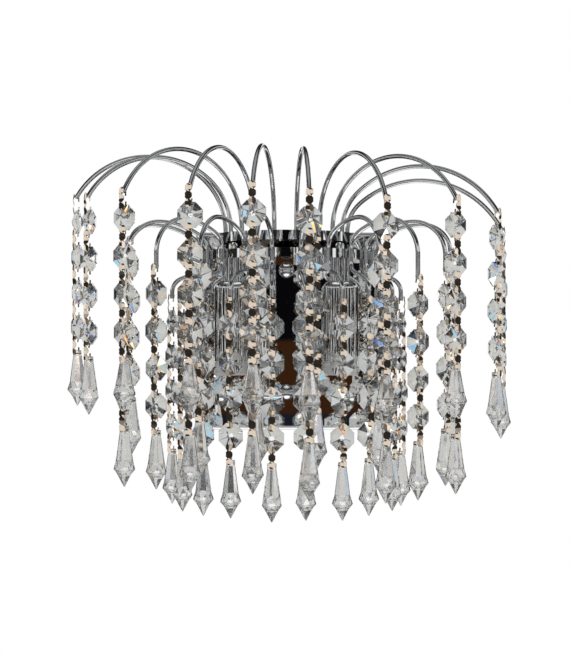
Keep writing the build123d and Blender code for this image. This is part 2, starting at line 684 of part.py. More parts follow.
def make_strand(place, heading, spindle):
    """The pieces of one strand, hung from a wire's cross hole."""
    hang = Plane(origin=place, x_dir=outward(heading), z_dir=(0, 0, 1)).location
    pieces = []
    height = 0.0
    for _ in range(STRAND_OCTAGONS):
        pieces.append(Pos(0, 0, height) * CLIP)
        height -= CLIP_REACH + OCTAGON_HOLES / 2
        pieces.append(Pos(0, 0, height) * OCTAGON)
        height -= OCTAGON_HOLES / 2
    if spindle:
        pieces.append(Pos(0, 0, height) * CLIP)
        height -= CLIP_REACH
        pieces.append(Pos(0, 0, height) * SPINDLE)
        height -= SPINDLE_LENGTH - 2 * DROP_HOLE
    pieces.append(Pos(0, 0, height) * CLIP)
    pieces.append(Pos(0, 0, height - CLIP_REACH) * ICICLE)
    return [hang * piece for piece in pieces]


# ---------------------------------------------------------------- lampholders


def both_lamps(piece):
    """The same piece on both lampholders' axes."""
    return [Pos(side * LAMP_X, LAMP_Y) * piece for side in SIDES]


def make_nipples():
    """Hollow threaded tubes that hang the lampholders from the tray and carry the leads."""
    return both_lamps(
        tube(NIPPLE_RADIUS, NIPPLE_BORE, SLEEVE_TOP - NIPPLE_BELOW, TRAY_FLOOR + NIPPLE_ABOVE)
    )


def make_nipple_nuts():
    """The nuts on the tray's floor."""
    nut = hex_nut(NIPPLE_NUT_ACROSS, NIPPLE_NUT_HEIGHT, NIPPLE_RADIUS + THREAD)
    return both_lamps(Pos(0, 0, TRAY_FLOOR) * nut)


def make_spacers():
    """The slim caps between tray and sleeve."""
    return both_lamps(tube(SPACER_RADIUS, NIPPLE_RADIUS + SEAT, SLEEVE_TOP, TRAY_BOTTOM))


def make_sleeves():
    """Drawn metal sleeves, closed at the top but for the nipple's hole."""
    outer = disc(SLEEVE_RADIUS, SLEEVE_BOTTOM, SLEEVE_TOP)
    outer = fillet(outer.edges().sort_by(Axis.Z)[-1], SLEEVE_SHOULDER)
    inner = disc(SLEEVE_BORE, SLEEVE_BOTTOM - CUT, SLEEVE_TOP - SLEEVE_SHEET)
    inner = fillet(inner.edges().sort_by(Axis.Z)[-1], SLEEVE_SHOULDER - SLEEVE_SHEET)
    hole = disc(NIPPLE_RADIUS + SEAT, SLEEVE_TOP - SLEEVE_SHEET - CUT, SLEEVE_TOP + CUT)
    return both_lamps(outer - inner - hole)


def make_bodies():
    """Insulating bodies: a threaded boss, a wiring cavity, a partition and the seat of the screw shell."""
    body = disc(SLEEVE_BORE - BODY_CLEARANCE, BODY_BOTTOM, BODY_TOP)
    body = fillet(body.edges().sort_by(Axis.Z)[-1], SLEEVE_SHOULDER)
    body -= disc(NIPPLE_RADIUS + THREAD, CAVITY_TOP - CUT, BODY_TOP + CUT)
    body -= disc(CAVITY_RADIUS, CAVITY_BOTTOM, CAVITY_TOP)
    seat = SHELL_BORE + SHELL_SHEET + THREAD
    body -= disc(seat, BODY_BOTTOM - CUT, PARTITION_BOTTOM)
    body -= disc(CONTACT_STEM + THREAD, PARTITION_BOTTOM - CUT, CAVITY_BOTTOM + CUT)
    slot = Box(2 * SHELL_SHEET + 2 * THREAD, TAB_WIDTH + 2 * THREAD, 3 * PARTITION)
    body -= Pos(SHELL_BORE + SHELL_SHEET / 2, 0, CAVITY_BOTTOM - PARTITION / 2) * slot
    return both_lamps(body)


def make_screw_shells():
    """Brass shells that the lamp's E14 cap screws into, each with a tab up to its lead."""
    top = PARTITION_BOTTOM - CONTACT_SHEET - 2 * SEAT
    shell = tube(SHELL_BORE + SHELL_SHEET, SHELL_BORE, top - SHELL_LENGTH, top)
    tab_top = CAVITY_BOTTOM + TAB_PROUD
    tab = Box(SHELL_SHEET, TAB_WIDTH, tab_top - top + SHELL_SHEET)
    shell += Pos(SHELL_BORE + SHELL_SHEET / 2, 0, (tab_top + top - SHELL_SHEET) / 2) * tab
    return both_lamps(shell)


def make_centre_contacts():
    """Riveted brass contacts in the partition."""
    under = PARTITION_BOTTOM - SEAT
    contact = disc(CONTACT_RADIUS, under - CONTACT_SHEET, under)
    contact += disc(CONTACT_STEM, under, CAVITY_BOTTOM + SEAT)
    contact += disc(RIVET_HEAD, CAVITY_BOTTOM + SEAT, CAVITY_BOTTOM + RIVET_TOP)
    return both_lamps(contact)


def make_collars():
    """Clear ribbed collars whose necks push up into the sleeves."""
    bottom = SLEEVE_BOTTOM - COLLAR_LENGTH
    collar = tube(SLEEVE_RADIUS, COLLAR_BORE, bottom, SLEEVE_BOTTOM)
    collar += tube(SLEEVE_BORE - THREAD, COLLAR_BORE, SLEEVE_BOTTOM, SLEEVE_BOTTOM + COLLAR_NECK)
    pitch = COLLAR_LENGTH / COLLAR_GROOVES
    for index in range(COLLAR_GROOVES):
        low = bottom + (index + 0.5) * pitch
        collar -= tube(SLEEVE_RADIUS + CUT, SLEEVE_RADIUS - COLLAR_GROOVE, low, low + COLLAR_GROOVE_WIDTH)
    return both_lamps(collar)


# ---------------------------------------------------------------- leads


def lead(points, radii):
    """One insulated lead along a route of straight runs and tangent arcs."""
    path = FilletPolyline(*points, radius=radii)
    section = Plane(origin=path @ 0, z_dir=path % 0) * Circle(LEAD_RADIUS)
    return sweep(section, path=path)


def make_lamp_leads():
    """Two leads from each lampholder, through its nipple and the backplate, to the terminal block."""
    start = CAVITY_BOTTOM + RIVET_TOP + 2 * SEAT
    leads = []
    for side, ways in zip(SIDES, (way_places()[: WAYS // 2], way_places()[WAYS // 2 :])):
        axis = side * LAMP_X
        tab = axis + SHELL_BORE - LEAD_RADIUS
        for offset, foot in ((-LEAD_PAIR / 2, None), (LEAD_PAIR / 2, tab)):
            x = axis + offset
            way = ways[0] if offset < 0 else ways[1]
            points = [(x, LAMP_Y, start)]
            radii = []
            if foot is not None:
                points = [
                    (foot, LAMP_Y, start),
                    (foot, LAMP_Y, start + LEAD_START_RUN),
                    (x, LAMP_Y, CAVITY_TOP - LEAD_GATHER),
                ]
                radii = [LEAD_BEND, LEAD_BEND]
            points += [
                (x, LAMP_Y, LEAD_HEIGHT),
                (x, FACE / 2 - LEAD_TURN, LEAD_HEIGHT),
                (way, WAY_Y, BLOCK_TOP + LEAD_LAST_BEND),
                (way, WAY_Y, BLOCK_TOP - LEAD_ENTRY),
            ]
            radii += [LEAD_BEND, LEAD_BEND, LEAD_BEND]
            leads.append(lead(points, radii))
    return leads


def make_lead_grommets():
    """Flanged rings in the backplate that the lamp leads pass through."""
    barrel = Circle(GROMMET_HOLE - SEAT) - Circle(GROMMET_BORE)
    flange = Circle(GROMMET_FLANGE) - Circle(GROMMET_BORE)
    ring = extrude(Pos(0, 0, -PLATE_SHEET) * barrel, PLATE_SHEET)
    ring += extrude(flange, GROMMET_FLANGE_SHEET)
    ring += extrude(Pos(0, 0, -PLATE_SHEET - GROMMET_FLANGE_SHEET) * flange, GROMMET_FLANGE_SHEET)
    return [facing(side * LAMP_X, LEAD_HEIGHT, FACE) * ring for side in SIDES]


def make_earth_lead():
    """The lead that bonds strap and backplate, with a ring tag crimped on each end."""
    tongue = Pos(TAG_TONGUE / 2, 0) * Rectangle(TAG_TONGUE, 2 * LEAD_RADIUS)
    tag = extrude(Circle(TAG_RADIUS) + tongue - Circle(EARTH_SCREW + HOLE), TAG_SHEET)
    low_x, low_z = EARTH_PLACE
    high_x, high_z = earth_tag_place()
    low = Vector(low_x, -STRAP_SHEET - LEAD_RADIUS - SEAT, low_z)
    high = Vector(high_x, FACE_INSIDE + LEAD_RADIUS + SEAT, high_z)
    crimp = Vector(TAG_TONGUE - LEAD_RADIUS, 0, 0)
    points = [low + crimp]
    radii = []
    corners = ((low, EARTH_FIRST_CORNER), (low, EARTH_SECOND_CORNER), (high, EARTH_LAST_CORNER))
    for tag_place, (right, forward, up, radius) in corners:
        points.append(tag_place + Vector(right, -forward, up))
        radii.append(radius)
    points.append(high + crimp)
    wire = lead(points, radii)
    wire += facing(low_x, low_z, -STRAP_SHEET) * tag
    wire += facing(high_x, high_z, FACE_INSIDE + TAG_SHEET) * tag
    return wire


# ---------------------------------------------------------------- writing


def write(name, pieces):
    """One node: a single piece, or a group of separate like pieces."""
    shape = Compound(children=list(pieces)) if isinstance(pieces, (list, tuple)) else pieces
    export_step(shape, f"parts/{name}.step")


def main():
    os.makedirs("parts", exist_ok=True)
    write("backplate", make_backplate())
    write("wall_strap", make_wall_strap())
    write("strap_studs", make_studs())
    write("stud_lock_nuts", make_stud_nuts())
    write("nut_washers", make_washers())
    write("domed_nuts", make_domed_nuts())
    write("cable_grommet", make_cable_grommet())
    write("terminal_block", make_terminal_block())
    write("terminal_screws", make_terminal_screws())
    write("earth_screw", make_earth_screw())
    write("lower_tray", make_tray())
    write("upper_cap", make_cap())
    write("crown_screws", make_crown_screws())
    write("crown_nuts", make_crown_nuts())
    write("upper_wire_nuts", make_upper_nuts())
    write("lampholder_nipples", make_nipples())
    write("nipple_nuts", make_nipple_nuts())
    write("holder_spacers", make_spacers())
    write("holder_sleeves", make_sleeves())
    write("holder_bodies", make_bodies())
    write("screw_shells", make_screw_shells())
    write("centre_contacts", make_centre_contacts())
    write("clear_collars", make_collars())
    write("lamp_leads", make_lamp_leads())
    write("lead_grommets", make_lead_grommets())
    write("earth_lead", make_earth_lead())

    upper = [upper_wire(*row) for row in UPPER_WIRES]
    lower = [lower_wire(*row) for row in LOWER_WIRES]
    middle = len(upper) // 2
    write("upper_wires_left", [wire for wire, _ in upper[:middle]])
    write("upper_wires_right", [wire for wire, _ in upper[middle:]])
    write("lower_wires_left", [wire for wire, *_ in lower[:middle]])
    write("lower_wires_right", [wire for wire, *_ in lower[middle:]])

    for index, (row, (_, place)) in enumerate(zip(UPPER_WIRES, upper)):
        pieces = make_strand(place, row[1], index in SPINDLE_STRANDS)
        write(f"outer_strand_{index + 1:02d}", pieces)
    for index, (row, (_, high, low)) in enumerate(zip(LOWER_WIRES, lower)):
        write(f"middle_strand_{index + 1:02d}", make_strand(high, row[1], False))
        write(f"inner_strand_{index + 1:02d}", make_strand(low, row[5], False))


main()
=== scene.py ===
"""Looks of a crystal wall sconce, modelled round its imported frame.

Lengths are in metres. The origin is the centre of the backplate on the wall, +Z is up, +X is to the right and
-Y points out into the room."""

import json
import math
import random

import bmesh
import bpy
from bpy.props import FloatProperty, FloatVectorProperty, PointerProperty
from mathutils import Matrix, Vector


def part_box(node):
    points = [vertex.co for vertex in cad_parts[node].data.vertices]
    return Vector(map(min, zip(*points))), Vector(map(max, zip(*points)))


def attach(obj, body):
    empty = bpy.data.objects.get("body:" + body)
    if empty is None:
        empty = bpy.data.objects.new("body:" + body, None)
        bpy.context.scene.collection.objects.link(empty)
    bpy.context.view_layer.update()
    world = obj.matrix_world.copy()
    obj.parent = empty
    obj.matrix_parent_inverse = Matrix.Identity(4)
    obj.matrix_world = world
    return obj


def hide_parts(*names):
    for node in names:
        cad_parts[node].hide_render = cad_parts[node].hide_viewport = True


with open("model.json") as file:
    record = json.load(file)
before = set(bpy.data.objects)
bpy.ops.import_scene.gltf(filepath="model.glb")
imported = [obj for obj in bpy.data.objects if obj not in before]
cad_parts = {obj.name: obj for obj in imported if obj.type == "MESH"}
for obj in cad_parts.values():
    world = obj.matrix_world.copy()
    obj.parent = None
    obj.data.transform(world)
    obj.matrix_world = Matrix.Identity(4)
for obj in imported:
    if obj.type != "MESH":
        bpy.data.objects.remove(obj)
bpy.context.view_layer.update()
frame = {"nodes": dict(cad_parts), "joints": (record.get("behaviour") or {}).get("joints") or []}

bl_info = {
    "name": "Crystal Wall Sconce",
    "version": (1, 0, 0),
    "blender": (4, 5, 0),
    "location": "View3D > Sidebar > Sconce",
    "description": "Cut glass, clips, finishes and studio of a crystal wall sconce",
    "category": "Object",
}

MM = 0.001
GLASS_SIDES = 8
PIN_SIDES = 6
PIN_BEND_STEPS = 3
STRAND_OCTAGONS = 4
STAMPED_CLIPS = 6  # differently splayed clips that the strands draw from
SPINDLE_STRAND = 0.18  # a strand longer than this also has a spindle
HANG_SEED = 7
GLASS_IOR = 1.55
PLASTIC_IOR = 1.46
SENSOR_WIDTH = 36.0  # of the camera, in millimetres


# ---------------------------------------------------------------- sizes and colours


class GlassSettings(bpy.types.PropertyGroup):
    """Sizes of the cut glass."""

    octagon_across: FloatProperty(
        name="Octagon width", description="Across the flats", default=16 * MM, unit="LENGTH"
    )
    octagon_table: FloatProperty(
        name="Octagon table", description="Width of the flat on each face", default=2.2 * MM, unit="LENGTH"
    )
    octagon_thickness: FloatProperty(
        name="Octagon thickness", description="From table to table", default=7.5 * MM, unit="LENGTH"
    )
    octagon_girdle: FloatProperty(
        name="Octagon girdle", description="Height of the upright rim", default=1.2 * MM, unit="LENGTH"
    )
    octagon_holes: FloatProperty(
        name="Octagon holes", description="Between the two pin holes", default=12.2 * MM, unit="LENGTH"
    )
    drop_hole: FloatProperty(
        name="Drop hole", description="Below the top of a drop's neck", default=2.2 * MM, unit="LENGTH"
    )
    spindle_length: FloatProperty(
        name="Spindle length", description="Length of the double-holed drop", default=36 * MM, unit="LENGTH"
    )
    neck_flat: FloatProperty(
        name="Neck flats", description="Between the two flats on a drop's neck", default=4 * MM, unit="LENGTH"
    )
    flat_below: FloatProperty(
        name="Flat length", description="How far a flat runs past the hole", default=1.5 * MM, unit="LENGTH"
    )
    hole_radius: FloatProperty(
        name="Pin hole", description="Radius of the holes for the clips", default=0.58 * MM, unit="LENGTH"
    )
    twist: FloatProperty(
        name="Twist", description="Most chance turn between neighbours on a strand", default=math.radians(4),
        subtype="ANGLE",
    )
    settle: FloatProperty(
        name="Settle", description="Share of its wire's heading that a strand turns back to the front",
        default=0.33, subtype="FACTOR",
    )
    joint_turn: FloatProperty(
        name="Joint turn", description="Most of that turn in one joint", default=math.radians(13),
        subtype="ANGLE",
    )


class ClipSettings(bpy.types.PropertyGroup):
    """Sizes of the stamped clips."""

    reach: FloatProperty(
        name="Reach", description="Between the two pins", default=11.8 * MM, unit="LENGTH"
    )
    lobe_length: FloatProperty(
        name="Lobe length", description="Length of each of the three lobes", default=4.8 * MM, unit="LENGTH"
    )
    lobe_width: FloatProperty(
        name="Lobe width", description="Width of each lobe", default=4.6 * MM, unit="LENGTH"
    )
    waist: FloatProperty(
        name="Waist", description="Width between the lobes", default=2.2 * MM, unit="LENGTH"
    )
    sheet: FloatProperty(
        name="Sheet", description="Thickness of the strip", default=0.35 * MM, unit="LENGTH"
    )
    standoff: FloatProperty(
        name="Standoff", description="From a strand's middle to the strip's face", default=3.1 * MM,
        unit="LENGTH",
    )
    crease: FloatProperty(
        name="Crease", description="Depth of the crease across the middle lobe", default=0.74 * MM,
        unit="LENGTH",
    )
    ridge: FloatProperty(
        name="Ridge", description="Height of the ridge along each outer lobe", default=0.3 * MM, unit="LENGTH"
    )
    droop: FloatProperty(
        name="Droop", description="How far an outer lobe slopes back", default=0.4 * MM, unit="LENGTH"
    )
    tuck: FloatProperty(
        name="Tuck", description="How far a strip's end bends back", default=0.27 * MM, unit="LENGTH"
    )
    wire: FloatProperty(
        name="Pin radius", description="Radius of the folded pins", default=0.5 * MM, unit="LENGTH"
    )
    leg_offset: FloatProperty(
        name="Leg offset", description="From a strand's middle to a folded leg", default=2.7 * MM,
        unit="LENGTH",
    )
    leg: FloatProperty(
        name="Leg", description="Straight length of a folded leg", default=3.3 * MM, unit="LENGTH"
    )
    bend: FloatProperty(
        name="Bend", description="Radius in which a pin is folded", default=0.9 * MM, unit="LENGTH"
    )
    splay: FloatProperty(
        name="Splay", description="Most turn of a folded leg", default=math.radians(16), subtype="ANGLE"
    )


class FinishSettings(bpy.types.PropertyGroup):
    """Colours of the finishes."""

    chrome: FloatVectorProperty(
        name="Chrome", description="Plated sheet and rod", default=(0.76, 0.77, 0.78), subtype="COLOR"
    )
    nickel: FloatVectorProperty(
        name="Nickel", description="Clips of the strands", default=(0.9, 0.76, 0.62), subtype="COLOR"
    )
    crystal: FloatVectorProperty(
        name="Crystal", description="Tint of the cut glass", default=(0.99, 0.99, 0.985), subtype="COLOR"
    )
    brass: FloatVectorProperty(
        name="Brass", description="Screw shells, contacts and clamp screws", default=(0.78, 0.58, 0.27),
        subtype="COLOR",
    )
    zinc: FloatVectorProperty(
        name="Zinc", description="Strap, studs, nuts and nipples", default=(0.55, 0.56, 0.55), subtype="COLOR"
    )
    moulding: FloatVectorProperty(
        name="Moulding", description="Lampholder bodies", default=(0.8, 0.77, 0.69), subtype="COLOR"
    )
    collar: FloatVectorProperty(
        name="Collar", description="Clear plastic collars", default=(0.86, 0.87, 0.86), subtype="COLOR"
    )
    block: FloatVectorProperty(
        name="Block", description="Terminal block", default=(0.74, 0.74, 0.7), subtype="COLOR"
    )
    sleeving: FloatVectorProperty(
        name="Sleeving", description="Leads of the lampholders", default=(0.72, 0.72, 0.69), subtype="COLOR"
    )
    rubber: FloatVectorProperty(
        name="Rubber", description="Grommets", default=(0.02, 0.02, 0.021), subtype="COLOR"
    )
    earth_green: FloatVectorProperty(
        name="Earth green", description="Ground of the earth lead", default=(0.08, 0.3, 0.06), subtype="COLOR"
    )
    earth_yellow: FloatVectorProperty(
        name="Earth yellow", description="Stripe of that lead", default=(0.72, 0.6, 0.05), subtype="COLOR"
    )


class StudioSettings(bpy.types.PropertyGroup):
    """Room, lamps and camera."""

    focal_pixels: FloatProperty(
        name="Focal length", description="In pixels of the picture's height", default=1429.0, subtype="PIXEL"
    )
    picture_height: FloatProperty(
        name="Picture height", description="Pixels", default=652.0, subtype="PIXEL"
    )
    camera_distance: FloatProperty(
        name="Camera distance", description="From the backplate's front face", default=1.0, unit="LENGTH"
    )
    shift_right: FloatProperty(
        name="Shift", description="How far the axis lies right of the middle", default=1.5, subtype="PIXEL"
    )
    shift_down: FloatProperty(
        name="Drop", description="How far the axis lies below the middle", default=5.0, subtype="PIXEL"
    )
    floor_height: FloatProperty(
        name="Floor", description="Height of the pale floor", default=-1.3, unit="LENGTH"
    )
    floor_radius: FloatProperty(
        name="Floor radius", description="Of the pale round floor", default=0.9, unit="LENGTH"
    )
    key_power: FloatProperty(
        name="Key lamp", description="Soft lamp above on the left", default=9.0, unit="POWER"
    )
    fill_power: FloatProperty(
        name="Fill lamp", description="Soft lamp on the right", default=5.0, unit="POWER"
    )


SETTINGS = {
    "sconce_glass": GlassSettings,
    "sconce_clips": ClipSettings,
    "sconce_finish": FinishSettings,
    "sconce_studio": StudioSettings,
}


# ---------------------------------------------------------------- materials


class Nodes:
    """A small helper that adds and joins nodes in one tree."""

    def __init__(self, tree):
        self.tree = tree
        tree.nodes.clear()

    def add(self, kind, inputs=(), **values):
        """A node of a kind, with its sockets set or joined."""
        node = self.tree.nodes.new(kind)
        for name, value in values.items():
            setattr(node, name, value)
        for socket, value in dict(inputs).items():
            if isinstance(value, bpy.types.NodeSocket):
                self.tree.links.new(value, node.inputs[socket])
            else:
                node.inputs[socket].default_value = value
        return node

    def math(self, operation, first, second=0.0):
        """The result of one sum."""
        return self.add("ShaderNodeMath", {0: first, 1: second}, operation=operation).outputs[0]

    def spread(self, value, low, high, to_low=0.0, to_high=1.0):
        """A value taken smoothly from one range to another."""
        inputs = {0: value, 1: low, 2: high, 3: to_low, 4: to_high}
        node = self.add("ShaderNodeMapRange", inputs, interpolation_type="SMOOTHSTEP")
        return node.outputs[0]

    def blend(self, share, first, second):
        """Two colours mixed."""
        node = self.add("ShaderNodeMix", {0: share}, data_type="RGBA")
        for socket, value in ((node.inputs[6], first), (node.inputs[7], second)):
            if isinstance(value, bpy.types.NodeSocket):
                self.tree.links.new(value, socket)
            else:
                socket.default_value = value
        return node.outputs[2]

    def ramp(self, value, stops):
        """A colour read off a row of (place, colour) stops."""
        node = self.add("ShaderNodeValToRGB", {0: value})
        ramp = node.color_ramp
        while len(ramp.elements) < len(stops):
            ramp.elements.new(0.5)
        for element, (place, colour) in zip(ramp.elements, stops):
            element.position = place
            element.color = colour
        return node.outputs[0]


def rgba(colour):
    """A colour with full alpha."""
    return (*colour, 1.0)


def grey(level):
    """A grey with full alpha."""
    return (level, level, level, 1.0)


def shaded(colour, share):
    """A colour made lighter or darker."""
    return tuple(min(1.0, channel * share) for channel in colour)


def surface(name):
    """A new material: it, its node helper, its main shader and object coordinates."""
    material = bpy.data.materials.new(name)
    material.use_nodes = True
    nodes = Nodes(material.node_tree)
    shader = nodes.add("ShaderNodeBsdfPrincipled")
    nodes.add("ShaderNodeOutputMaterial", {"Surface": shader.outputs[0]})
    place = nodes.add("ShaderNodeTexCoord").outputs["Object"]
    return material, nodes, shader, place


def noise(nodes, place, scale, detail=2.0):
    """Cloudy noise in object coordinates."""
    node = nodes.add("ShaderNodeTexNoise", {"Vector": place, "Scale": scale, "Detail": detail})
    return node.outputs[0]


def roughen(nodes, shader, height, distance):
    """Lets a pattern stand out of the surface."""
    bump = nodes.add("ShaderNodeBump", {"Height": height, "Distance": distance, "Strength": 1.0})
    nodes.tree.links.new(bump.outputs[0], shader.inputs["Normal"])


def mottled(nodes, shader, colour, pattern, darkest, lightest):
    """Colours a surface by a pattern, from one share of its colour to another."""
    tone = nodes.blend(pattern, rgba(shaded(colour, darkest)), rgba(shaded(colour, lightest)))
    nodes.tree.links.new(tone, shader.inputs["Base Color"])


def plated(name, colour, low, high, wave):
    """Bright plating with faint clouding, a roughness from low to high and a skin that is uneven by wave."""
    material, nodes, shader, place = surface(name)
    shader.inputs["Metallic"].default_value = 1.0
    cloud = noise(nodes, place, 38.0)
    mottled(nodes, shader, colour, cloud, 0.94, 1.05)
    nodes.tree.links.new(nodes.spread(cloud, 0.3, 0.75, low, high), shader.inputs["Roughness"])
    roughen(nodes, shader, noise(nodes, place, 55.0, 1.0), wave)
    return material


def satin_metal(name, colour, grain):
    """Dull metal with a fine grain."""
    material, nodes, shader, place = surface(name)
    shader.inputs["Metallic"].default_value = 1.0
    speckle = noise(nodes, place, grain, 4.0)
    mottled(nodes, shader, colour, speckle, 0.8, 1.15)
    nodes.tree.links.new(nodes.spread(speckle, 0.2, 0.8, 0.25, 0.45), shader.inputs["Roughness"])
    roughen(nodes, shader, speckle, 0.02 * MM)
    return material


def moulded(name, colour, low, high, grain=900.0):
    """Moulded plastic or rubber with a fine skin and a roughness from low to high."""
    material, nodes, shader, place = surface(name)
    skin = noise(nodes, place, grain, 3.0)
    mottled(nodes, shader, colour, skin, 0.9, 1.08)
    nodes.tree.links.new(nodes.spread(skin, 0.2, 0.8, low, high), shader.inputs["Roughness"])
    roughen(nodes, shader, skin, 0.015 * MM)
    return material


def cut_crystal(name, colour, haze, wave):
    """Clear cut glass with this much haze, whose polished facets are wavy by this much."""
    material, nodes, shader, place = surface(name)
    shader.inputs["Base Color"].default_value = rgba(colour)
    shader.inputs["Transmission Weight"].default_value = 1.0
    shader.inputs["IOR"].default_value = GLASS_IOR
    shader.inputs["Roughness"].default_value = haze
    roughen(nodes, shader, noise(nodes, place, 160.0, 1.0), wave)
    return material


def clear_plastic(name, colour):
    """Clear moulded plastic, a little hazy."""
    material, nodes, shader, place = surface(name)
    shader.inputs["Base Color"].default_value = rgba(colour)
    shader.inputs["Transmission Weight"].default_value = 0.5
    shader.inputs["IOR"].default_value = PLASTIC_IOR
    haze = noise(nodes, place, 300.0, 2.0)
    nodes.tree.links.new(nodes.spread(haze, 0.2, 0.8, 0.12, 0.25), shader.inputs["Roughness"])
    return material


def striped_sleeving(name, ground, stripe):
    """Two-colour striped sleeving."""
    material, nodes, shader, place = surface(name)
    wave = nodes.add(
        "ShaderNodeTexWave",
        {"Vector": place, "Scale": 130.0, "Distortion": 0.4},
        wave_type="BANDS",
        bands_direction="DIAGONAL",
    )
    tone = nodes.ramp(wave.outputs[1], [(0.5, rgba(ground)), (0.56, rgba(stripe))])
    nodes.tree.links.new(tone, shader.inputs["Base Color"])
    shader.inputs["Roughness"].default_value = 0.4
    return material


# ---------------------------------------------------------------- shapes


def push(bm, cap, shift):
    """Lengthens a bar from its end face and gives the new end."""
    made = bmesh.ops.extrude_face_region(bm, geom=[cap])["geom"]
    end = next(part for part in made if isinstance(part, bmesh.types.BMFace))
    bmesh.ops.translate(bm, vec=shift, verts=end.verts)
    return end


def bend(bm, cap, centre, axis, angle, steps):
    """Carries a bar round a bend from its end face and gives the new end."""
    geom = [cap, *cap.edges, *cap.verts]
    made = bmesh.ops.spin(bm, geom=geom, cent=centre, axis=axis, angle=angle, steps=steps)["geom_last"]
    return next(part for part in made if isinstance(part, bmesh.types.BMFace))


def close_up(bm):
    """Merges doubles and points every face outwards."""
    bmesh.ops.remove_doubles(bm, verts=bm.verts, dist=0.001 * MM)
    bmesh.ops.recalc_face_normals(bm, faces=bm.faces)


def cut_glass(rings):
    """Cut glass about its own Z from rings of (height, width across flats, turned), lowest first.

    A turned ring stands half a facet round from a plain one, so triangles join the two."""
    bm = bmesh.new()
    half_step = math.pi / GLASS_SIDES
    height, across, turned = rings[0]
    radius = across / 2 / math.cos(half_step)
    bmesh.ops.create_circle(bm, cap_ends=True, segments=GLASS_SIDES, radius=radius)
    cap = bm.faces[:][0]
    spin = Matrix.Rotation(half_step * (2 if turned else 1), 3, "Z")
    bmesh.ops.rotate(bm, cent=(0, 0, 0), matrix=spin, verts=bm.verts)
    bmesh.ops.translate(bm, vec=(0, 0, height), verts=bm.verts)
    for (low, narrow, was), (high, wide, now) in zip(rings, rings[1:]):
        cap = push(bm, cap, (0, 0, high - low))
        bmesh.ops.scale(bm, vec=(wide / narrow, wide / narrow, 1), verts=cap.verts)
        if was != now:
            spin = Matrix.Rotation(half_step, 3, "Z")
            bmesh.ops.rotate(bm, cent=(0, 0, 0), matrix=spin, verts=cap.verts)
    quads = [face for face in bm.faces if len(face.verts) == 4]
    bent = [face for face in quads if turns_above(rings, min(vert.co.z for vert in face.verts))]
    bmesh.ops.triangulate(bm, faces=bent, quad_method="SHORT_EDGE")
    close_up(bm)
    return bm


def turns_above(rings, height):
    """Whether one of the ring at this height and the ring above it is turned and the other is plain."""
    near = min(range(len(rings) - 1), key=lambda index: abs(rings[index][0] - height))
    return rings[near][2] != rings[near + 1][2]


def hole_cutter(heights, radius):
    """Bars through the glass from front to back at these heights."""
    bm = bmesh.new()
    length = 40 * MM
    for height in heights:
        made = bmesh.ops.create_cone(
            bm, cap_ends=True, segments=PIN_SIDES, radius1=radius, radius2=radius, depth=length
        )
        place = Matrix.Translation((0, 0, height)) @ Matrix.Rotation(math.pi / 2, 4, "Y")
        bmesh.ops.transform(bm, matrix=place, verts=made["verts"])
    return bm


def flat_cutter(sizes, ends):
    """Blocks that leave two flats on a neck, from (height of its hole, 1 for up or -1 for down) pairs."""
    bm = bmesh.new()
    width = 4 * MM
    past_end = 1 * MM
    top = sizes.drop_hole + past_end
    length = top + sizes.flat_below
    for height, sign in ends:
        for side in (-1, 1):
            made = bmesh.ops.create_cube(bm, size=1.0)["verts"]
            bmesh.ops.scale(bm, vec=(width, 3 * width, length), verts=made)
            shift = (side * (sizes.neck_flat + width) / 2, 0, height + sign * (top - length / 2))
            bmesh.ops.translate(bm, vec=shift, verts=made)
    return bm


def less(name, bm, cutters):
    """The glass as a mesh, less its cutters."""
    items = []
    for part in (bm, *cutters):
        item = bpy.data.objects.new(name, bpy.data.meshes.new(name))
        part.to_mesh(item.data)
        part.free()
        bpy.context.scene.collection.objects.link(item)
        items.append(item)
    glass = items[0]
    for item in items[1:]:
        cut = glass.modifiers.new("cut", "BOOLEAN")
        cut.object = item
        cut.operation = "DIFFERENCE"
        cut.solver = "EXACT"
    bpy.context.view_layer.update()
    finished = bpy.data.meshes.new_from_object(glass.evaluated_get(bpy.context.evaluated_depsgraph_get()))
    for item in items:
        bpy.data.objects.remove(item)
    return finished


def octagon_mesh(sizes):
    """A flat octagon that faces along X, whose facets rise to a small table on each face."""
    half = sizes.octagon_thickness / 2
    rim = sizes.octagon_girdle / 2
    rings = [
        (-half, sizes.octagon_table, False),
        (-rim, sizes.octagon_across, False),
        (rim, sizes.octagon_across, False),
        (half, sizes.octagon_table, False),
    ]
    side = sizes.octagon_holes / 2
    bm = cut_glass(rings)
    bmesh.ops.rotate(bm, cent=(0, 0, 0), matrix=Matrix.Rotation(math.pi / 2, 3, "Y"), verts=bm.verts)
    return less("octagon", bm, [hole_cutter((-side, side), sizes.hole_radius)])


def drop_mesh(name, sizes, rings, ends):
    """A long drop from rings of (millimetres below the top, width, turned), its first hole at the origin."""
    placed = [(sizes.drop_hole - below * MM, across * MM, turned) for below, across, turned in rings]
    holes = [height for height, _ in ends]
    return less(name, cut_glass(placed), [flat_cutter(sizes, ends), hole_cutter(holes, sizes.hole_radius)])


NECK_RINGS = [
    (3.7, 5.7, True),
    (3.4, 5.3, True),
    (3.1, 5.7, True),
    (0.7, 5.7, True),
    (0.0, 5.0, True),
]
ICICLE_RINGS = [
    (38.0, 0.5, True),
    (30.2, 8.3, True),
    (27.0, 12.8, False),
    (22.0, 10.4, True),
    *NECK_RINGS,
]


def spindle_rings(sizes):
    """Rings of the double-holed drop, whose lower neck is its upper neck turned over."""
    length = sizes.spindle_length / MM
    lower_neck = [(length - below, across, turned) for below, across, turned in reversed(NECK_RINGS)]
    return [*lower_neck, (26.8, 9.7, True), (23.0, 13.6, False), (18.0, 10.7, True), *NECK_RINGS]


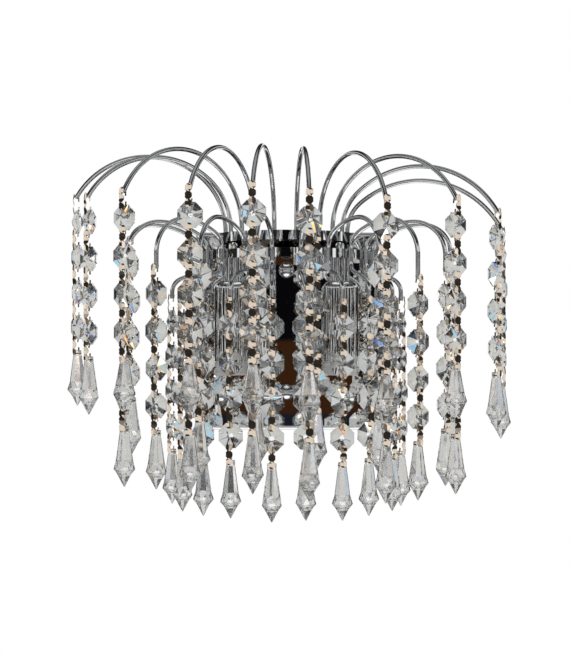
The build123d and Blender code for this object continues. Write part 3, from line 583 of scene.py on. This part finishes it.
def clip_strip(bm, sizes):
    """The three-lobed strip: a middle lobe with a crease across it between two ridged ones.

    Its rows are (lobe lengths above the middle, half width, how far set back, height of the ridge)."""
    wide = sizes.lobe_width / 2
    narrow = sizes.waist / 2
    upper = [
        (0.25, wide, sizes.crease / 2, 0.0),
        (0.5, narrow, 0.0, 0.0),
        (0.75, wide, sizes.droop / 3, sizes.ridge),
        (1.25, wide, sizes.droop, sizes.ridge),
        (1.5, narrow, sizes.droop + sizes.tuck, 0.0),
    ]
    rows = [(-along, *rest) for along, *rest in reversed(upper)]
    rows += [(0.0, wide, sizes.crease, 0.0), *upper]
    middle = -sizes.reach / 2
    last = rows[0]
    start = Vector((sizes.standoff - last[2], 0, middle + last[0] * sizes.lobe_length))
    line = [bm.verts.new(start + Vector((0, y, 0))) for y in (-last[1], 0, last[1])]
    edges = [bm.edges.new(pair) for pair in zip(line, line[1:])]
    for row in rows[1:]:
        made = bmesh.ops.extrude_edge_only(bm, edges=edges)["geom"]
        verts = [part for part in made if isinstance(part, bmesh.types.BMVert)]
        edges = [part for part in made if isinstance(part, bmesh.types.BMEdge)]
        shift = (last[2] - row[2], 0, (row[0] - last[0]) * sizes.lobe_length)
        bmesh.ops.scale(bm, vec=(1, row[1] / last[1], 1), verts=verts)
        bmesh.ops.translate(bm, vec=shift, verts=verts)
        ridge = min(verts, key=lambda vert: abs(vert.co.y))
        sides = [vert for vert in verts if vert is not ridge]
        bmesh.ops.translate(bm, vec=(last[3] - row[3], 0, 0), verts=sides)
        last = row
    bmesh.ops.recalc_face_normals(bm, faces=bm.faces)
    bmesh.ops.solidify(bm, geom=bm.faces[:], thickness=sizes.sheet)


def clip_pin(bm, sizes, end, inward, splay):
    """One pin: from the strip through the glass, round a bend and along behind it to the clip's middle."""
    curve = sizes.bend
    root = sizes.standoff - sizes.droop - sizes.sheet / 2
    made = bmesh.ops.create_circle(bm, cap_ends=True, segments=PIN_SIDES, radius=sizes.wire)
    turn = Matrix.Translation((root, 0, end)) @ Matrix.Rotation(math.pi / 2, 4, "Y")
    bmesh.ops.transform(bm, matrix=turn, verts=made["verts"])
    cap = made["verts"][0].link_faces[0]
    cap = push(bm, cap, (-(root + sizes.leg_offset - curve), 0, 0))
    before = set(bm.verts)
    centre = (-(sizes.leg_offset - curve), 0, end + inward * curve)
    cap = bend(bm, cap, centre, (0, -inward, 0), math.pi / 2, PIN_BEND_STEPS)
    push(bm, cap, (0, 0, inward * sizes.leg))
    leg = [vert for vert in bm.verts if vert not in before]
    bmesh.ops.rotate(bm, cent=(0, 0, end), matrix=Matrix.Rotation(splay, 3, "X"), verts=leg)


def clip_mesh(name, sizes, splays):
    """A whole clip, its upper pin's axis through the origin."""
    bm = bmesh.new()
    clip_strip(bm, sizes)
    clip_pin(bm, sizes, 0.0, -1, splays[0])
    clip_pin(bm, sizes, -sizes.reach, 1, splays[1])
    bmesh.ops.recalc_face_normals(bm, faces=bm.faces)
    mesh = bpy.data.meshes.new(name)
    bm.to_mesh(mesh)
    bm.free()
    return mesh


def join_copy(bm, mesh, place):
    """Adds a copy of a mesh to a larger one."""
    before = len(bm.verts)
    bm.from_mesh(mesh)
    bm.verts.ensure_lookup_table()
    bmesh.ops.transform(bm, matrix=place, verts=bm.verts[before:])


def add_piece(name, bm, material, body, nodes):
    """A finished piece that rides on a body and stands for nodes of the frame."""
    mesh = bpy.data.meshes.new(name)
    bm.to_mesh(mesh)
    bm.free()
    piece = bpy.data.objects.new(name, mesh)
    bpy.context.scene.collection.objects.link(piece)
    mesh.materials.append(material)
    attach(piece, body)
    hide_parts(*nodes)


def finish_nodes(material, *names):
    """Gives nodes of the frame a finish."""
    for name in names:
        materials = frame["nodes"][name].data.materials
        materials.clear()
        materials.append(material)


# ---------------------------------------------------------------- operators


class SCONCE_OT_pressings(bpy.types.Operator):
    """Finishes the backplate and the two steps of the crown"""

    bl_idname = "sconce.pressings"
    bl_label = "Backplate and crown"

    def execute(self, context):
        finish = context.scene.sconce_finish
        mirror = plated("mirror chrome", finish.chrome, 0.0, 0.03, 0.004 * MM)
        finish_nodes(mirror, "backplate", "lower_tray", "upper_cap")
        return {"FINISHED"}


class SCONCE_OT_wires(bpy.types.Operator):
    """Finishes the bowed wires"""

    bl_idname = "sconce.wires"
    bl_label = "Wires"

    def execute(self, context):
        finish = context.scene.sconce_finish
        bright = plated("wire chrome", finish.chrome, 0.01, 0.05, 0.006 * MM)
        finish_nodes(bright, *(name for name in frame["nodes"] if "_wires_" in name))
        return {"FINISHED"}


class SCONCE_OT_lampholders(bpy.types.Operator):
    """Finishes the two lampholders"""

    bl_idname = "sconce.lampholders"
    bl_label = "Lampholders"

    def execute(self, context):
        finish = context.scene.sconce_finish
        sleeve = plated("sleeve chrome", finish.chrome, 0.02, 0.06, 0.006 * MM)
        finish_nodes(sleeve, "holder_sleeves", "holder_spacers")
        finish_nodes(clear_plastic("clear plastic", finish.collar), "clear_collars")
        finish_nodes(moulded("holder moulding", finish.moulding, 0.35, 0.5), "holder_bodies")
        brass = satin_metal("brass", finish.brass, 500.0)
        finish_nodes(brass, "screw_shells", "centre_contacts", "terminal_screws", "earth_screw")
        return {"FINISHED"}


class SCONCE_OT_fasteners(bpy.types.Operator):
    """Finishes the strap, studs, nuts, washers and screws"""

    bl_idname = "sconce.fasteners"
    bl_label = "Fasteners"

    def execute(self, context):
        finish = context.scene.sconce_finish
        bright = plated("nut chrome", finish.chrome, 0.01, 0.05, 0.002 * MM)
        finish_nodes(bright, "domed_nuts", "nut_washers")
        zinc = satin_metal("zinc plating", finish.zinc, 260.0)
        finish_nodes(zinc, "wall_strap", "strap_studs", "stud_lock_nuts", "lampholder_nipples", "nipple_nuts")
        nickel = satin_metal("screw nickel", finish.nickel, 700.0)
        finish_nodes(nickel, "crown_screws", "crown_nuts", "upper_wire_nuts")
        return {"FINISHED"}


class SCONCE_OT_wiring(bpy.types.Operator):
    """Finishes the terminal block, the leads and the grommets"""

    bl_idname = "sconce.wiring"
    bl_label = "Wiring"

    def execute(self, context):
        finish = context.scene.sconce_finish
        finish_nodes(moulded("block moulding", finish.block, 0.4, 0.55), "terminal_block")
        finish_nodes(moulded("lead sleeving", finish.sleeving, 0.35, 0.5, 1500.0), "lamp_leads")
        finish_nodes(moulded("black rubber", finish.rubber, 0.55, 0.8), "cable_grommet", "lead_grommets")
        striped = striped_sleeving("earth sleeving", finish.earth_green, finish.earth_yellow)
        finish_nodes(striped, "earth_lead")
        return {"FINISHED"}


class SCONCE_OT_strands(bpy.types.Operator):
    """Cuts the glass, stamps the clips and hangs the thirty strands"""

    bl_idname = "sconce.strands"
    bl_label = "Strands"

    def execute(self, context):
        scene = context.scene
        glass = scene.sconce_glass
        clips = scene.sconce_clips
        finish = scene.sconce_finish
        bead_crystal = cut_crystal("cut crystal", finish.crystal, haze=0.0, wave=0.012 * MM)
        drop_crystal = cut_crystal("drop crystal", finish.crystal, haze=0.12, wave=0.02 * MM)
        nickel = plated("clip nickel", finish.nickel, 0.04, 0.1, 0.01 * MM)
        upper_end = (0.0, 1)
        lower_end = (2 * glass.drop_hole - glass.spindle_length, -1)
        meshes = {
            "octagon": octagon_mesh(glass),
            "icicle": drop_mesh("icicle", glass, ICICLE_RINGS, [upper_end]),
            "spindle": drop_mesh("spindle", glass, spindle_rings(glass), [upper_end, lower_end]),
        }
        chance = random.Random(HANG_SEED)
        splay = clips.splay
        stamped = [
            clip_mesh("clip", clips, (chance.uniform(-splay, splay), chance.uniform(-splay, splay)))
            for _ in range(STAMPED_CLIPS)
        ]
        hung = [joint for joint in frame["joints"] if joint["child"] in frame["nodes"]]
        for joint in hung:
            hang_strand(joint, glass, clips, meshes, stamped, (bead_crystal, drop_crystal, nickel), chance)
        return {"FINISHED"}


def hang_strand(joint, glass, clips, meshes, stamped, materials, chance):
    """One strand on its wire: its octagons, its drops and its clips are a piece each.

    It hangs square to its joint's axis, and turns back towards the front a little at each link."""
    bead_crystal, drop_crystal, nickel = materials
    name = joint["child"]
    out = Vector(joint["axis"]).normalized()
    up = Vector((0, 0, 1))
    hang = Matrix((out, up.cross(out), up)).transposed().to_4x4()
    hang.translation = Vector(joint["pos_m"])
    has_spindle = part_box(name)[1].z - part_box(name)[0].z > SPINDLE_STRAND
    octagons_bm = bmesh.new()
    drops_bm = bmesh.new()
    clips_bm = bmesh.new()
    height = 0.0
    turn = 0.0
    goal = -glass.settle * math.atan2(out.x, -out.y)

    def put(bm, mesh, at):
        """Adds a copy of a mesh at a height, turned as the strand is there."""
        join_copy(bm, mesh, hang @ Matrix.Translation((0, 0, at)) @ Matrix.Rotation(turn, 4, "Z"))

    def next_turn():
        """The turn of the next link: towards the goal, with a little chance."""
        step = goal + chance.uniform(-glass.twist, glass.twist) - turn
        return turn + max(-glass.joint_turn, min(glass.joint_turn, step))

    for index in range(STRAND_OCTAGONS):
        put(clips_bm, chance.choice(stamped), height)
        turn = next_turn()
        height -= clips.reach + glass.octagon_holes / 2
        put(octagons_bm, meshes["octagon"], height)
        turn = next_turn()
        height -= glass.octagon_holes / 2
    if has_spindle:
        put(clips_bm, chance.choice(stamped), height)
        height -= clips.reach
        turn = next_turn()
        put(drops_bm, meshes["spindle"], height)
        turn = next_turn()
        height -= glass.spindle_length - 2 * glass.drop_hole
    put(clips_bm, chance.choice(stamped), height)
    turn = next_turn()
    put(drops_bm, meshes["icicle"], height - clips.reach)
    add_piece(name + "_octagons", octagons_bm, bead_crystal, name, [name])
    add_piece(name + "_drops", drops_bm, drop_crystal, name, [name])
    add_piece(name + "_clips", clips_bm, nickel, name, [name])


# ---------------------------------------------------------------- studio


def strip_wall(nodes, bearing):
    """The tent's walls at eye level: dark, with upright white strips, the same on the left and the right."""
    dark, dim, white = 0.02, 0.42, 1.0
    walls = [
        (0.0, dark), (9.5, dark), (10.0, white), (15.0, white), (15.5, dark), (24.0, dark), (25.0, dim),
        (31.0, dim), (32.0, dark), (42.0, dark), (43.0, white), (48.0, white), (49.0, dark), (64.0, dark),
        (65.0, white), (69.0, white), (70.0, dark), (103.0, dark), (104.0, white),
        (108.0, white), (109.0, dark),
    ]
    turn = nodes.math("DIVIDE", nodes.math("ABSOLUTE", bearing), math.pi)
    return nodes.ramp(turn, [(degrees / 180, grey(level)) for degrees, level in walls])


def mirrored_room(nodes, side, ahead, rise):
    """What polished metal sees: strips at eye level, a pale band above and below them, near black beyond
    it, and grey overhead and underfoot. Straight ahead is a small unlit doorway in black, brown and navy."""
    pale, unlit = grey(0.8), (0.025, 0.024, 0.022, 1.0)
    roof, ground = (0.34, 0.35, 0.36, 1.0), (0.2, 0.19, 0.18, 1.0)
    room = strip_wall(nodes, nodes.math("ARCTAN2", side, ahead))
    height = nodes.math("ABSOLUTE", rise)
    room = nodes.blend(nodes.spread(height, 0.15, 0.18), room, pale)
    room = nodes.blend(nodes.spread(height, 0.34, 0.4), room, unlit)
    room = nodes.blend(nodes.spread(rise, 0.7, 0.95), room, roof)
    room = nodes.blend(nodes.spread(rise, -0.6, -0.9), room, ground)
    navy, brown, night = (0.012, 0.014, 0.022, 1.0), (0.045, 0.017, 0.006, 1.0), (0.003, 0.003, 0.004, 1.0)
    level = nodes.math("ADD", nodes.math("MULTIPLY", rise, 5.0), 0.5)
    doorway = nodes.ramp(level, [(0.0, navy), (0.205, navy), (0.215, brown), (0.46, brown), (0.475, night)])
    opening = nodes.spread(ahead, math.cos(math.radians(9)), math.cos(math.radians(7)))
    return nodes.blend(opening, room, doorway)


def refracted_room(nodes, direction, rise):
    """What cut glass sees: a grey tent with unlit patches and small lights.

    The lights have coloured rims, which stand in for the colours that real cut glass splits light into."""
    lower, upper = (0.6, 0.59, 0.56, 1.0), (0.66, 0.66, 0.64, 1.0)
    unlit = (0.035, 0.038, 0.045, 1.0)
    lit_share, unlit_above = 0.34, 0.88
    tent = nodes.blend(nodes.spread(rise, -0.5, 0.5), lower, upper)
    cells = nodes.add("ShaderNodeTexVoronoi", {"Vector": direction, "Scale": 22.0})
    draw = nodes.add("ShaderNodeSeparateColor", {0: cells.outputs["Color"]}).outputs[0]
    rims = nodes.ramp(cells.outputs["Distance"], [
        (0.17, (2.4, 2.4, 2.4, 1.0)),
        (0.23, (1.8, 1.3, 0.45, 1.0)),
        (0.28, (1.1, 0.38, 0.08, 1.0)),
        (0.33, (0.1, 0.08, 0.1, 1.0)),
        (0.37, (0.12, 0.22, 0.8, 1.0)),
        (0.43, (0.35, 0.75, 0.95, 1.0)),
        (0.5, (0.63, 0.63, 0.61, 1.0)),
    ])
    room = nodes.blend(nodes.math("LESS_THAN", draw, lit_share), tent, rims)
    return nodes.blend(nodes.math("GREATER_THAN", draw, unlit_above), room, unlit)


def studio_room(world):
    """A photographer's tent: even light for dull surfaces, walls that only metal and glass see, and a white
    backdrop behind the object."""
    world.use_nodes = True
    nodes = Nodes(world.node_tree)
    direction = nodes.add("ShaderNodeTexCoord").outputs["Generated"]
    side, depth, rise = nodes.add("ShaderNodeSeparateXYZ", {0: direction}).outputs
    ahead = nodes.math("MULTIPLY", depth, -1.0)
    white, even = grey(1.0), grey(0.8)
    path = nodes.add("ShaderNodeLightPath").outputs
    backdrop = nodes.spread(ahead, math.cos(math.radians(169)), math.cos(math.radians(171)))
    mirrored = nodes.blend(backdrop, mirrored_room(nodes, side, ahead, rise), white)
    refracted = nodes.blend(backdrop, refracted_room(nodes, direction, rise), white)
    colour = nodes.blend(path["Is Glossy Ray"], even, mirrored)
    colour = nodes.blend(path["Is Transmission Ray"], colour, refracted)
    colour = nodes.blend(path["Is Camera Ray"], colour, white)
    background = nodes.add("ShaderNodeBackground", {"Color": colour, "Strength": 1.0})
    nodes.add("ShaderNodeOutputWorld", {"Surface": background.outputs[0]})


def pale_floor(settings):
    """A pale round floor that shows near white and keeps a soft shadow."""
    glow = 0.55
    bm = bmesh.new()
    bmesh.ops.create_circle(bm, cap_ends=True, segments=64, radius=settings.floor_radius)
    bmesh.ops.translate(bm, vec=(0, 0, settings.floor_height), verts=bm.verts)
    mesh = bpy.data.meshes.new("floor")
    bm.to_mesh(mesh)
    bm.free()
    floor = bpy.data.objects.new("floor", mesh)
    bpy.context.scene.collection.objects.link(floor)
    material, nodes, shader, place = surface("pale floor")
    tone = nodes.blend(noise(nodes, place, 9.0), (0.8, 0.8, 0.79, 1.0), (0.84, 0.84, 0.83, 1.0))
    nodes.tree.links.new(tone, shader.inputs["Base Color"])
    shader.inputs["Roughness"].default_value = 0.9
    path = nodes.add("ShaderNodeLightPath").outputs
    seen = nodes.math("MAXIMUM", path["Is Camera Ray"], path["Is Glossy Ray"])
    seen = nodes.math("MAXIMUM", seen, path["Is Transmission Ray"])
    nodes.tree.links.new(nodes.math("MULTIPLY", seen, glow), shader.inputs["Emission Strength"])
    shader.inputs["Emission Color"].default_value = grey(1.0)
    mesh.materials.append(material)


def soft_lamp(name, place, size, power):
    """A square soft lamp that looks at the object."""
    data = bpy.data.lights.new(name, "AREA")
    data.shape = "SQUARE"
    data.size = size
    data.energy = power
    lamp = bpy.data.objects.new(name, data)
    lamp.location = place
    lamp.rotation_euler = (-Vector(place)).to_track_quat("-Z", "Y").to_euler()
    lamp.visible_glossy = False
    lamp.visible_transmission = False
    bpy.context.scene.collection.objects.link(lamp)


class SCONCE_OT_stage(bpy.types.Operator):
    """Sets up the room, the floor, the lamps and the camera"""

    bl_idname = "sconce.stage"
    bl_label = "Studio"

    def execute(self, context):
        scene = context.scene
        studio = scene.sconce_studio
        scene.view_settings.view_transform = "Standard"
        scene.world = bpy.data.worlds.new("studio room")
        studio_room(scene.world)
        pale_floor(studio)
        soft_lamp("key lamp", (-0.75, -0.95, 0.8), 0.5, studio.key_power)
        soft_lamp("fill lamp", (0.9, -0.8, 0.35), 0.5, studio.fill_power)
        data = bpy.data.cameras.new("camera")
        data.sensor_width = SENSOR_WIDTH
        data.lens = data.sensor_width * studio.focal_pixels / studio.picture_height
        data.shift_x = -studio.shift_right / studio.picture_height
        data.shift_y = studio.shift_down / studio.picture_height
        camera = bpy.data.objects.new("camera", data)
        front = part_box("backplate")[0].y
        camera.location = (0, front - studio.camera_distance, 0)
        camera.rotation_euler = (math.pi / 2, 0, 0)
        scene.collection.objects.link(camera)
        scene.camera = camera
        return {"FINISHED"}


OPERATORS = (
    SCONCE_OT_pressings,
    SCONCE_OT_wires,
    SCONCE_OT_lampholders,
    SCONCE_OT_fasteners,
    SCONCE_OT_wiring,
    SCONCE_OT_strands,
    SCONCE_OT_stage,
)


class SCONCE_PT_panel(bpy.types.Panel):
    """Lists the sconce's operators"""

    bl_idname = "SCONCE_PT_panel"
    bl_label = "Crystal wall sconce"
    bl_space_type = "VIEW_3D"
    bl_region_type = "UI"
    bl_category = "Sconce"

    def draw(self, context):
        for operator in OPERATORS:
            self.layout.operator(operator.bl_idname)


def register():
    """Registers the settings, the operators and the panel."""
    for name, settings in SETTINGS.items():
        bpy.utils.register_class(settings)
        setattr(bpy.types.Scene, name, PointerProperty(type=settings))
    for item in (*OPERATORS, SCONCE_PT_panel):
        bpy.utils.register_class(item)


def unregister():
    """Takes them off again."""
    for item in reversed((*OPERATORS, SCONCE_PT_panel)):
        bpy.utils.unregister_class(item)
    for name, settings in SETTINGS.items():
        delattr(bpy.types.Scene, name)
        bpy.utils.unregister_class(settings)


def main():
    """Builds everything."""
    register()
    for operator in OPERATORS:
        group, action = operator.bl_idname.split(".")
        getattr(getattr(bpy.ops, group), action)()


if __name__ == "__main__":
    main()
